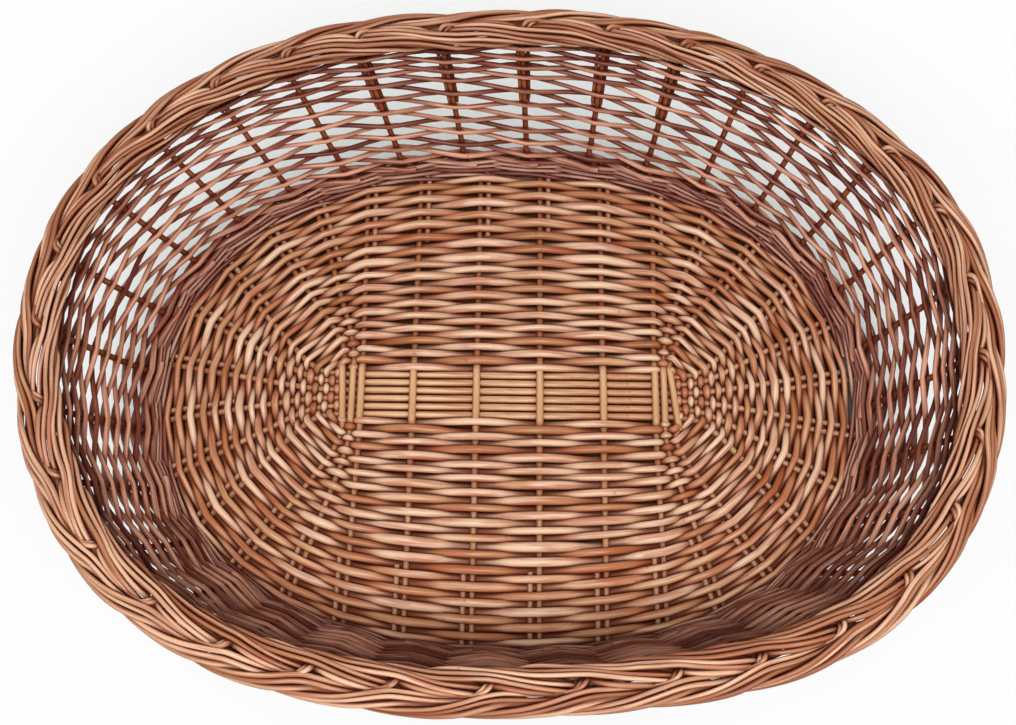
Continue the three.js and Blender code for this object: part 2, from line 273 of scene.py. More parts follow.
SHEEN = 0.28
STREAK_DULLNESS = 0.22
CREASE_DULLNESS = 0.7
CREASE_REACH = 9 * MM
CREASE_SAMPLES = 4
CREASE_PAINTED_SHADE = paint(84, 24, 4)
CREASE_COVER = 0.94
SUNK_COVER = 0.6
FLUSH_COVER = 0.6
FIBRE_COVER = 0.22
BUD_SPACING = 160 * MM
BUD_HALF_LENGTH = 1.6 * MM
BUD_NARROWNESS = 2.2
BUD_SCAR = paint(84, 40, 20)
BUD_COVER = 0.35
BARE_WOOD = paint(214, 178, 138)
BARE_COVER = 0.85
FOOT_COLOUR_FADE = (12 * MM, 22 * MM)
GRAIN_HEIGHT = 0.35 * MM
GRAIN_STRENGTH = 0.35


def willow(
    name, dark, middle, pale, flush, roughness=0.34, creases=(0.85, 0.25), raised=None, foot=None
):
    """Peeled and steamed willow: every rod has its own colour, with soft blotches and a red flush
    along it, fine fibres, a few small bud scars and cut ends of bare pale wood. Painted light makes
    it palest where it lies open to the air, and painted shade darkens it in the creases of the
    weave. The painted shade deepens as the openness falls from the first value of creases to the
    second and, with raised, as the height over or under the base's middle falls from its second
    value to its first. The two colours of foot are the paler ones of a stake's foot, up to 12 to 22
    mm high."""
    material = bpy.data.materials.new(name)
    finish = Finish(material)
    uv = finish.node("ShaderNodeUVMap", {"uv_map": "UVMap"})
    along = finish.node("ShaderNodeSeparateXYZ", {}, uv, output="X")
    rod_and_turn = finish.node("ShaderNodeSeparateXYZ", {}, uv, output="Y")
    rod = rod_and_turn.through("FLOOR")
    turn = (rod_and_turn - rod) * (2 * math.pi)
    own = finish.dice(rod)
    shift = finish.dice(rod + 0.37)
    side = turn.through("COSINE")
    front = turn.through("SINE")

    def grain(lengthwise, crosswise, detail):
        """Noise that runs along the rod and joins up round it"""
        place = finish.vector(lengthwise, side * crosswise, front * crosswise)
        settings = {"noise_dimensions": "3D"}
        return finish.node("ShaderNodeTexNoise", settings, place, Scale=1.0, Detail=detail)

    blotch = grain(along * 16 + own * 90, 0.5, 2.0)
    streak = grain(along * 30 + shift * 70, 3, 3.0)
    fibre = grain(along * 160 + shift * 40, 14, 2.0)
    redness = grain(along * 22 - shift * 60, 0.8, 2.0)
    open_to_air = finish.openness(CREASE_REACH, CREASE_SAMPLES)

    cell = along * (1 / BUD_SPACING) + own * 17
    bud = cell.through("FLOOR")
    from_bud = turn - finish.dice(bud + rod * 3.1) * (2 * math.pi)
    bud_away = (cell - bud - 0.5) * (BUD_SPACING / BUD_HALF_LENGTH)
    bud_round = from_bud.through("SINE") * BUD_NARROWNESS
    behind_bud = finish.step(from_bud.through("COSINE"), 0.0, -0.2)
    bud_reach = (bud_away * bud_away + bud_round * bud_round).through("SQRT") + behind_bud * 9
    scar = 1 - finish.step(bud_reach, 0.5, 1.1)

    # Painted light: the tone grows paler where the rod lies open to the air
    tone_and_painted_light = own * 0.6 + blotch * 0.8 + streak * 0.45 + open_to_air * 0.7 - 0.95
    bark = finish.blend(finish.step(tone_and_painted_light, 0.05, 0.5), dark, middle)
    bark = finish.blend(finish.step(tone_and_painted_light, 0.4, 0.85), bark, pale)
    bark = finish.blend(finish.step(redness, 0.46, 0.66) * FLUSH_COVER, bark, flush)
    bark = finish.blend(finish.step(fibre, 0.5, 0.75) * FIBRE_COVER, bark, dark)
    bark = finish.blend(scar * BUD_COVER, bark, BUD_SCAR)
    if raised or foot:
        place = finish.node("ShaderNodeTexCoord", {}, output="Object")
        above = finish.node("ShaderNodeSeparateXYZ", {}, place, output="Z")
    # Painted shade: with raised, the parts of a rod near the base's middle height go dark
    if raised:
        sunk = 1 - finish.step((above - BASE_MIDDLE).through("ABSOLUTE"), *raised)
        bark = finish.blend(sunk * SUNK_COVER, bark, CREASE_PAINTED_SHADE)
    # A stake's foot takes two paler colours, up to 12 to 22 mm high
    if foot:
        foot_colours = finish.blend(finish.step(tone_and_painted_light, 0.05, 0.95), *foot)
        bark = finish.blend(finish.step(above, *FOOT_COLOUR_FADE), foot_colours, bark)
    # Painted shade: the creases, where little lies open to the air, go dark
    bark = finish.blend(finish.step(open_to_air, *creases) * CREASE_COVER, bark, CREASE_PAINTED_SHADE)
    cut = finish.step(along, 0.5 * CUT_END, 0.6 * CUT_END)
    wood = finish.blend(cut * BARE_COVER, bark, BARE_WOOD)

    height = fibre * 0.5 + streak * 0.8 + scar * 0.5
    bump = finish.node(
        "ShaderNodeBump", {}, Strength=GRAIN_STRENGTH, Distance=GRAIN_HEIGHT, Height=height
    )
    dullness = streak * STREAK_DULLNESS + (1 - open_to_air) * CREASE_DULLNESS
    dullness += roughness - STREAK_DULLNESS / 2
    surface = finish.tree.nodes["Principled BSDF"]
    finish.join(wood, surface.inputs["Base Color"])
    finish.join(SHEEN, surface.inputs["Specular IOR Level"])
    finish.join(dullness, surface.inputs["Roughness"])
    finish.join(bump, surface.inputs["Normal"])
    return material


def fit(piece, material, slot, *nodes):
    """Gives a piece its finish and its place in the basket"""
    piece.data.materials.clear()
    piece.data.materials.append(material)
    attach(piece, "root")
    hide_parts(*nodes)


base_oval = Oval(base_high.x - base_low.x, base_high.y - base_low.y, BASE_SQUARENESS)


def share_at_x(x):
    """The share at which the first quarter of the base's edge reaches this x"""
    quarter = base_oval.share < 0.25
    return np.interp(-x, -base_oval.edge[quarter, 0], base_oval.share[quarter])


def fanned_ray(start, heading, share):
    """A stick's route from the slath to the base's edge, which turns as it leaves the slath"""
    start = np.array(start)
    edge = base_oval.at(share)
    turn = start + np.array(heading) * FAN_REACH
    outward = (edge - turn) / np.linalg.norm(edge - turn)
    turned = turn + outward * FAN_REACH
    bend = flowing([start, (start + 2 * turn + turned) / 4, turned], FAN_STEPS)
    straight = np.linspace(turned, edge, RAY_POINTS)[1:]
    return {"share": share, "line": np.vstack([bend, straight]), "heading": outward}


middle_x = [
    (MIDDLE_STICKS / 2 - 0.5 - column) * MIDDLE_STICK_PITCH
    for column in range(MIDDLE_STICKS // 2)
]
end_step = share_at_x(middle_x[0]) / (LONG_STICKS / 2 + CORNER_STICKS + 0.5)
quarter_rays = []
for row in range(LONG_STICKS // 2):
    start = (SLATH_HALF_LENGTH, (row + 0.5) * SLATH_PITCH)
    ray = fanned_ray(start, (1, 0), (row + 0.5) * end_step)
    quarter_rays.append({**ray, "stick": "long", "number": row})
for column in range(CORNER_STICKS):
    start = (CORNER_STICK_X - column * SLATH_PITCH, SLATH_HALF_WIDTH)
    ray = fanned_ray(start, (0, 1), (LONG_STICKS / 2 + column + 0.5) * end_step)
    quarter_rays.append({**ray, "stick": "corner", "number": column})
for column, x in enumerate(middle_x):
    share = float(share_at_x(x))
    line = np.linspace((x, SLATH_HALF_WIDTH), (x, base_oval.at(share)[1]), MIDDLE_RAY_POINTS)
    ray = {"share": share, "line": line, "heading": np.array([0.0, 1.0])}
    quarter_rays.append({**ray, "stick": "middle", "number": column})


def turned_ray(ray, sign_x, sign_y):
    """A ray mirrored into another quarter of the base"""
    sign = np.array([sign_x, sign_y])
    share = ray["share"] if sign_x > 0 else 0.5 - ray["share"]
    heading = ray["heading"] * sign
    return {
        **ray,
        "share": share if sign_y > 0 else 1 - share,
        "line": ray["line"] * sign,
        "heading": heading,
        "clockwise": np.array([heading[1], -heading[0]]),
        "quarter": (sign_x, sign_y),
    }


quarters = [(sign_x, sign_y) for sign_x in (1, -1) for sign_y in (1, -1)]
rays = [turned_ray(ray, *quarter) for ray in quarter_rays for quarter in quarters]
rays.sort(key=lambda ray: ray["share"])


def ray_of(stick, number, quarter):
    """The ray of one stick in one quarter of the base"""
    wanted = (stick, number, quarter)
    return next(ray for ray in rays if (ray["stick"], ray["number"], ray["quarter"]) == wanted)


WANDER_SPAN = 3


def wander(count, reach):
    """Small slow deviations, as a hand-made thing has"""
    rough = np.array([dice.uniform(-reach, reach) for _ in range(count + WANDER_SPAN)])
    return np.convolve(rough, np.ones(WANDER_SPAN) / WANDER_SPAN**0.5, "valid")[:count]


def lift(line, height):
    """A line in plan, put at a height"""
    return np.c_[line, np.broadcast_to(height, len(line))]


stick_finish = willow(
    "base_stick_willow",
    paint(150, 88, 52), paint(194, 137, 92), paint(232, 186, 143), paint(182, 104, 68),
)
for number in range(LONG_STICKS):
    row = number - (LONG_STICKS - 1) / 2
    side = 1 if row > 0 else -1
    east = ray_of("long", abs(row) - 0.5, (1, side))
    middle = np.linspace(-SLATH_HALF_LENGTH, SLATH_HALF_LENGTH, LONG_STICK_POINTS)[1:-1]
    waver = wander(len(middle), LONG_STICK_WAVER)
    middle = np.c_[middle, row * SLATH_PITCH + waver]
    line = np.vstack([east["line"][::-1] * (-1, 1), middle, east["line"]])
    reach = np.abs(line[:, 0]) / np.abs(line[:, 0]).max()
    radius = LONG_STICK_RADIUS + (STICK_END_RADIUS - LONG_STICK_RADIUS) * reach**2
    stick = bend_rods(f"long_stick_{number + 1}", [(lift(line, BASE_MIDDLE), radius)])
    fit(stick, stick_finish, "base_stick", f"base_stick_long_{number + 1}")


# The short base sticks cross the long ones. Each is split through its middle, and the six long
# sticks are pushed through the split, so that one half lies over them and the other under them.
SHORT_STICK_RADIUS = 3.3 * MM
SPLIT_RISE = 3.5 * MM
SPLIT_TAPER = 9 * MM
SPLIT_SIDES = 16
SPLIT_STATIONS = 23
SPLIT_FACE = -0.1 * MM
SPLIT_FLATTENING = 0.95
SPLIT_UV_MIDDLE = 0.3
ARM_START_IN_TAPER = 0.85
ARM_RADIUS_SHARE = 0.98
ARM_FIRST_RAY_POINT = 3
CORNER_SPREAD = (1.6 * MM, 0.3 * MM, 0)
CORNER_LEANS = {1: -2.8 * MM, -1: -1.3 * MM}


def split_half(x, lean, side):
    """One half of a split stick: a D section that rises over the long sticks and falls again"""
    half_length = SLATH_HALF_WIDTH + SPLIT_TAPER
    slant = lean / SLATH_HALF_WIDTH
    across = np.linspace(-half_length, half_length, SPLIT_STATIONS)
    inside = np.clip((half_length - np.abs(across)) / SPLIT_TAPER, 0, 1)
    rise = SPLIT_RISE * (3 * inside**2 - 2 * inside**3)
    bpy.ops.mesh.primitive_circle_add(
        vertices=SPLIT_SIDES, radius=SHORT_STICK_RADIUS, fill_type="NGON",
        rotation=(math.radians(90), 0, 0),
    )
    half = bpy.context.object
    mesh = half.data
    bpy.ops.object.transform_apply(location=False, rotation=True, scale=False)
    for vertex in mesh.vertices:
        vertex.co.z = max(vertex.co.z, SPLIT_FACE) * SPLIT_FLATTENING
        vertex.co += Vector((x + slant * across[0], across[0], 0))
    bpy.ops.object.mode_set(mode="EDIT")
    bpy.ops.mesh.select_all(action="SELECT")
    for before, after, low, high in zip(across, across[1:], rise, rise[1:]):
        move = (slant * (after - before), after - before, high - low)
        bpy.ops.mesh.extrude_region_move(TRANSFORM_OT_translate={"value": move})
    bpy.ops.object.mode_set(mode="OBJECT")
    for vertex in mesh.vertices:
        vertex.co.z = BASE_MIDDLE + side * vertex.co.z
    bpy.ops.object.mode_set(mode="EDIT")
    bpy.ops.mesh.select_all(action="SELECT")
    bpy.ops.mesh.normals_make_consistent(inside=False)
    bpy.ops.object.mode_set(mode="OBJECT")
    layer = mesh.uv_layers[0]
    for loop in mesh.loops:
        place = mesh.vertices[loop.vertex_index].co
        swing = math.atan2(place.x - x - slant * place.y, side * (place.z - BASE_MIDDLE))
        share = 0.5 + (0.5 - 2 * SEAM_ROOM) * swing / math.pi
        layer.data[loop.index].uv = (place.y + SPLIT_UV_MIDDLE, share)
    bpy.ops.object.shade_smooth_by_angle(angle=SMOOTH_BELOW)
    bpy.ops.object.select_all(action="DESELECT")
    return half


short_columns = []
for side in (-1, 1):
    for column in range(CORNER_STICKS):
        x = side * (CORNER_STICK_X - column * SLATH_PITCH + CORNER_SPREAD[column])
        short_columns.append((x, 0 if column else CORNER_LEANS[side], "corner", column, side))
    for column, x in enumerate(middle_x):
        short_columns.append((side * x, 0, "middle", column, side))
short_columns.sort(key=lambda column: column[0])

for number, (x, lean, kind, column, side) in enumerate(short_columns):
    arms = []
    for sign_y in (-1, 1):
        ray = ray_of(kind, column, (side, sign_y))
        slath_edge = np.array([x + sign_y * lean, sign_y * SLATH_HALF_WIDTH])
        inner = slath_edge + (0, sign_y * SPLIT_TAPER * ARM_START_IN_TAPER)
        line = flowing(np.vstack([inner, ray["line"][ARM_FIRST_RAY_POINT:]]), 2)
        radius = np.linspace(SHORT_STICK_RADIUS * ARM_RADIUS_SHARE, STICK_END_RADIUS, len(line))
        arms.append((lift(line, BASE_MIDDLE), radius))
    stick = bend_rods(f"short_stick_{number + 1:02d}", arms)
    halves = [split_half(x, lean, over) for over in (1, -1)]
    for half in [*halves, stick]:
        half.select_set(True)
    bpy.context.view_layer.objects.active = stick
    bpy.ops.object.join()
    bpy.ops.object.select_all(action="DESELECT")
    fit(stick, stick_finish, "base_stick", f"base_stick_short_{number + 1:02d}")


# The base weave is plain randing in willow rods: thirty rows that pass over one stick and under the
# next, round and round the slath out to the edge. Nothing but the weave's own grip holds them.
BASE_ROWS = 30
BASE_ROW_THICKNESSES = (0.85, 0.9, 0.95, 1, 1.05, 1.1, 1.2)
BASE_ROW_SLIP = 0.12
BASE_ROW_LAP = 0.25
BASE_ROW_LIMITS = (0.012, 0.988)
BASE_ROW_EASE = 0.25
BASE_ROW_STEPS = 6
BASE_ROD_FILL = 0.62
BASE_SWING = 4.6 * MM
BASE_SWING_ROOM = 0.55
BASE_SWING_ROUNDNESS = 0.6


def place_along(ray, share):
    """The place at a share of the way along a ray"""
    way = way_along(ray["line"])
    return np.array([np.interp(share * way[-1], way, ray["line"][:, i]) for i in (0, 1)])


thickness = np.array([dice.choice(BASE_ROW_THICKNESSES) for _ in range(BASE_ROWS)])
row_middles = (np.cumsum(thickness) - thickness / 2) / thickness.sum()
row_pitches = np.array([way_along(ray["line"])[-1] / BASE_ROWS for ray in rays])
laps = {0: -BASE_ROW_LAP, len(rays): BASE_ROW_LAP}
base_rods = []
for row in range(BASE_ROWS):
    first = 2 * dice.randrange(len(rays) // 2) + row % 2
    slip = wander(len(rays), BASE_ROW_SLIP)
    crossings = []
    for step in range(len(rays) + 1):
        share = row_middles[row] + (slip[step % len(rays)] + laps.get(step, 0)) / BASE_ROWS
        ray = rays[(first + step) % len(rays)]
        crossings.append(place_along(ray, np.clip(share, *BASE_ROW_LIMITS)))
    crossings = np.array(crossings)
    spans = np.linalg.norm(np.diff(crossings, axis=0), axis=1)
    room = np.minimum(np.append(spans, spans[-1]), np.insert(spans, 0, spans[0]))
    pitch = row_pitches[(first + np.arange(len(crossings))) % len(rays)]
    radius = pitch * BASE_ROD_FILL * thickness[row]
    reach = np.minimum(BASE_SWING, BASE_SWING_ROOM * room)
    phase = np.arange(len(rays) * BASE_ROW_STEPS + 1) / BASE_ROW_STEPS
    plan = flowing(crossings, BASE_ROW_STEPS, BASE_ROW_EASE)
    rounded = BASE_SWING_ROUNDNESS * np.cos(np.pi * phase)
    pointed = (1 - BASE_SWING_ROUNDNESS) * (2 * np.abs(phase % 2 - 1) - 1)
    swing = -np.interp(phase, np.arange(len(reach)), reach) * (rounded + pointed)
    width = np.interp(phase, np.arange(len(radius)), radius)
    base_rods.append((lift(plan, BASE_MIDDLE + swing), width))
base_weave = bend_rods("base_randing", base_rods)
base_finish = willow(
    "base_weave_willow",
    paint(142, 76, 40), paint(197, 137, 94), paint(242, 202, 170), paint(184, 88, 52),
    # Painted shade on the base rods near the base's middle height
    raised=(-1 * MM, 5.5 * MM),
)
fit(base_weave, base_finish, "base_weave", "base_weave")


# The stakes are thirty-two stout rods. The foot of each is pushed into the base beside a stick,
# then it is bent up at the edge. Two thinner bye-stakes are pushed in beside its upper part, and
# those of the back stakes reach further down.
STAKE_RADIUS = 2.75 * MM
STAKE_TOP_RADIUS = 2.45 * MM
STAKE_FOOT_LENGTH = 62 * MM
STAKE_FOOT_POINTS = 5
STAKE_STANDOFF = 8 * MM
STAKE_BEND_RISE = 13 * MM
STAKE_BEND_POINTS = 7
STAKE_UPRIGHT_FROM = 38 * MM
STAKE_UPRIGHT_POINTS = 8
STAKE_LEAN = 13 * MM
STAKE_SWAY = 0.5 * MM
FOOT_OFFSET = 7.6 * MM
BYE_STAKE_RADIUS = 1.75 * MM
BYE_STAKE_POINT = 0.5
BYE_STAKE_PINCH = 0.84
BYE_STAKE_WAVER = 0.12 * MM
BYE_STAKE_FOOT = 105 * MM
BYE_STAKE_FOOT_STRAY = 4 * MM
HIDDEN_BYE_STAKE_FOOT = 166 * MM
BACK_STAKES = range(5, 10)
RIM_SQUARENESS = 2.28
RIM_LEAN = 0.005
BORDER_HALF_WIDTH = 18 * MM

border_low, border_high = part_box("border")
RIM_MIDDLE = (border_low.z + border_high.z) / 2
STAKE_TOP = border_low.z + 6 * MM
rim_oval = Oval(
    border_high.x - border_low.x - 2 * BORDER_HALF_WIDTH,
    border_high.y - border_low.y - 2 * BORDER_HALF_WIDTH,
    RIM_SQUARENESS,
)

# How many mm the hand-made rim strays outward of a true oval, every ten degrees from +X
RIM_STRAY = (
    2.0, 2.0, -0.7, -3.4, -2.4, -0.7, 0.7, 2.8, 3.4, 2.8, -0.7, 1.4, 2.0, 0.3, -1.4, -2.8, -2.0,
    0.0, 0.7, -3.0, -3.4, 0.0, 0.7, 2.0, 0.0, -0.7, -0.7, -2.8, -3.8, -4.0, -1.4, 2.0, 4.6, 4.0,
    1.7, 0.4, 2.0,
)


def rim_place(share, outward=0.0):
    """Places round the rim over a share of the base's edge. The wall leans a little round the
    basket, so they lie a little further round."""
    leant = np.asarray(share) + RIM_LEAN * (1 - np.cos(2 * np.pi * np.asarray(share)))
    plan = rim_oval.at(leant)
    turn = np.degrees(np.arctan2(plan[..., 1], plan[..., 0])) % 360
    stray = np.interp(turn, np.arange(0, 361, 10), RIM_STRAY) * MM
    return plan + rim_oval.outward(leant) * (stray + outward)[..., None]


def wall_place(share, height, offset=0.0):
    """Places on the wall's middle surface, moved outward by an offset"""
    given = [np.asarray(value, float) for value in (share, height, offset)]
    share, height, offset = np.broadcast_arrays(*given)
    bend_top = BASE_MIDDLE + STAKE_BEND_RISE
    rise = np.clip((height - bend_top) / (RIM_MIDDLE - bend_top), 0, 1)[..., None]
    outward = base_oval.outward(share)
    foot = base_oval.at(share) + outward * STAKE_STANDOFF
    plan = foot * (1 - rise) + rim_place(share) * rise + outward * offset[..., None]
    return np.concatenate([plan, height[..., None]], axis=-1)


wall_shares = np.array([ray["share"] + STAKE_LEAN / base_oval.perimeter for ray in rays])
stake_finish = willow(
    "stake_willow",
    paint(84, 30, 14), paint(132, 62, 34), paint(176, 100, 62), paint(134, 50, 28),
    roughness=0.4, foot=(paint(170, 112, 80), paint(222, 176, 140)),
)
for number, ray in enumerate(rays):
    edge = ray["line"][-1]
    beside = edge + ray["clockwise"] * FOOT_OFFSET
    foot = beside - ray["heading"] * STAKE_FOOT_LENGTH
    set_back = beside - ray["heading"] * STAKE_RADIUS
    corner = set_back + ray["heading"] * (STAKE_STANDOFF + STAKE_RADIUS)
    half_lean = ray["share"] + (STAKE_LEAN - FOOT_OFFSET) / 2 / base_oval.perimeter
    bend_top = wall_place(half_lean, BASE_MIDDLE + STAKE_BEND_RISE)
    foot, set_back, corner = (np.append(place, BASE_MIDDLE) for place in (foot, set_back, corner))
    into_base = np.linspace(foot, set_back, STAKE_FOOT_POINTS)[:-1]
    t = np.linspace(0, 1, STAKE_BEND_POINTS)[:, None]
    bend = (1 - t) ** 2 * set_back + 2 * t * (1 - t) * corner + t**2 * bend_top
    heights = np.linspace(STAKE_UPRIGHT_FROM, STAKE_TOP, STAKE_UPRIGHT_POINTS)
    sway = wander(len(heights), STAKE_SWAY)
    upright = wall_place(wall_shares[number] + sway / base_oval.perimeter, heights)
    line = flowing(np.vstack([into_base, bend, upright]), 2)
    radius = np.interp(line[:, 2], [BASE_MIDDLE, STAKE_TOP], [STAKE_RADIUS, STAKE_TOP_RADIUS])
    rods = [(line, radius)]
    for side in (-1, 1):
        bye_foot = BYE_STAKE_FOOT if number in BACK_STAKES else HIDDEN_BYE_STAKE_FOOT
        bye_foot += dice.uniform(-BYE_STAKE_FOOT_STRAY, BYE_STAKE_FOOT_STRAY)
        heights = np.linspace(bye_foot, STAKE_TOP, STAKE_UPRIGHT_POINTS)
        touching = STAKE_TOP_RADIUS + BYE_STAKE_RADIUS
        gap = touching * np.linspace(BYE_STAKE_PINCH, 1.0, len(heights))
        gap += wander(len(heights), BYE_STAKE_WAVER)
        place = wall_place(wall_shares[number] + side * gap / rim_oval.perimeter, heights)
        line = flowing(place, 2)
        radius = np.full(len(line), BYE_STAKE_RADIUS)
        radius[0] *= BYE_STAKE_POINT
        rods.append((line, radius))
    stake = bend_rods(f"willow_stake_{number + 1:02d}", rods)
    fit(stake, stake_finish, "stake", f"stake_{number + 1:02d}")


# The upsett wale is a band of three rods worked round the foot of the wall. Each passes outside two
# stakes and inside the third, over the other two as it comes out, and grips the stakes where they
# turn up. At the end of a round it steps up to the next.
WALE_RODS = 3
WALE_ROUNDS = 4
WALE_ROD_RADIUS = 2.1 * MM
WALE_ROD_SPREAD = (0.94, 1.06)
WALE_WAVER = 0.3 * MM
WALE_STEP_UP = 2
WALE_STEPS = 5
# In mm: the first round's height and the rise of each round, outside the stakes and inside them
WALE_OUTER_ROUNDS = (3.6, 7.4)
WALE_INNER_ROUNDS = (15.8, 4.7)
WALE_CROSSING_RISE = 3.7
# In mm: how far outside the stakes' middle line the passes lie, at each height
WALE_OUTER_OFFSETS = ([3, 6, 8, 10.5, 15, 20], [-7.4, -5.0, -2.4, 1.2, 3.9, 4.7])
WALE_INNER_OFFSETS = ([15.6, 19, 23], [-7.6, -6.2, -4.7])


def stake_share(place):
    """The wall share at a place counted in stakes, which need not be whole"""
    place = np.asarray(place, float)
    rounds = np.floor(place / len(rays))
    shares = [*wall_shares, wall_shares[0] + 1]
    return np.interp(place - rounds * len(rays), np.arange(len(rays) + 1), shares) + rounds


wale_rods = []
for strand in range(WALE_RODS):
    stations = WALE_ROUNDS * len(rays)
    wobble = wander(stations + 1, WALE_WAVER)
    controls = []
    for place in range(stations + 1):
        stroke = (place - strand) % WALE_RODS
        past_step = place % len(rays) - (len(rays) - WALE_STEP_UP)
        level = place // len(rays) + max(0, past_step) / WALE_STEP_UP
        if stroke == 0:
            height = WALE_INNER_ROUNDS[0] + WALE_INNER_ROUNDS[1] * level
            offset = np.interp(height, *WALE_INNER_OFFSETS)
        else:
            crossing = WALE_CROSSING_RISE if stroke == 1 else 0
            height = WALE_OUTER_ROUNDS[0] + WALE_OUTER_ROUNDS[1] * level + crossing
            offset = np.interp(height, *WALE_OUTER_OFFSETS)
        controls.append((place, height * MM + wobble[place], offset * MM))
    controls = flowing(controls, WALE_STEPS)
    line = wall_place(stake_share(controls[:, 0]), controls[:, 1], controls[:, 2])
    wale_rods.append((line, WALE_ROD_RADIUS * dice.uniform(*WALE_ROD_SPREAD)))
wale = bend_rods("upsett_strands", wale_rods)
wale_finish = willow(
    "upsett_willow",
    paint(98, 48, 38), paint(160, 102, 84), paint(226, 178, 154), paint(140, 64, 52),
    creases=(0.96, 0.5),
)
fit(wale, wale_finish, "upsett_wale", "upsett_wale")


# The wall is French randing: thirty-two rods, one from each stake. Each starts with its thick butt
# inside a stake, then passes outside and inside the stakes by turns as it climbs, and ends in its
# thin tip.
RANDING_STEPS = 22
RANDING_RADII = ([0, 2, 6, 22], [2.7 * MM, 2.5 * MM, 2.15 * MM, 1.7 * MM])
RANDING_HEIGHTS = ([0, 1, 2, 14, 22], [29 * MM, 34.5 * MM, 41 * MM, 140 * MM, 183 * MM])
RANDING_ROD_SPREAD = (0.92, 1.1)
RANDING_WAVER = 0.9 * MM
RANDING_GRIP = 0.2 * MM
RANDING_EASE = 0.6
RANDING_STEPS_BETWEEN = 5
# How much further round (in stakes), up and outward the butt and the tip end
BUTT_END = (-0.18, -0.5 * MM, -0.3 * MM)
TIP_END = (0.3, 0.5 * MM, 1 * MM)

side_rods = []
for number in range(len(rays)):
    steps = np.arange(RANDING_STEPS + 1)
    height = np.interp(steps, *RANDING_HEIGHTS) + wander(len(steps), RANDING_WAVER)
    radius = np.interp(steps, *RANDING_RADII) * dice.uniform(*RANDING_ROD_SPREAD)
    stake_radius = np.interp(height, [BASE_MIDDLE, STAKE_TOP], [STAKE_RADIUS, STAKE_TOP_RADIUS])
    offset = np.where(steps % 2 == 0, -1, 1) * (stake_radius + radius - RANDING_GRIP)
    controls = np.c_[number + steps, height, offset]
    controls = np.vstack([controls[0] + BUTT_END, controls, controls[-1] + TIP_END])
    controls = flowing(controls, RANDING_STEPS_BETWEEN, RANDING_EASE)
    line = wall_place(stake_share(controls[:, 0]), controls[:, 1], controls[:, 2])
    thickness = np.interp(np.linspace(0, 1, len(line)), np.linspace(0, 1, len(radius)), radius)
    side_rods.append((line, thickness))
side_weave = bend_rods("side_randing", side_rods)
side_finish = willow(
    "side_weave_willow",
    paint(68, 25, 16), paint(134, 70, 50), paint(226, 164, 134), paint(124, 43, 34),
    creases=(0.92, 0.45),
)
fit(side_weave, side_finish, "side_weave", "side_weave")


# The border plaits the tops of the stakes and bye-stakes round the rim. Four rods run clockwise
# from each stake: under the next group, over and outward to the edge, back in under the groups
# after it, and up again over the top to the inner edge. The last stays low and packs the plait.
BORDER_ROD_RADIUS = 1.9 * MM
BORDER_ROD_SPREAD = (0.86, 1.1)
BORDER_ROD_TAPER = (1.02, 0.84)
BORDER_STEPS = 3
BORDER_THICKNESSES = (1, 1, 1.15, 1.35)
BORDER_GROUP_SHIFT = 0.08
BORDER_SHIFT_FROM = 0.5
# In mm: the routes are drawn for a wider border that lies further in
BORDER_NARROWING = 0.9
BORDER_OUTWARD = 2.2
BORDER_STRAY = 0.4
BORDER_WAVER_OUT = 0.35
BORDER_WAVER_UP = 0.25
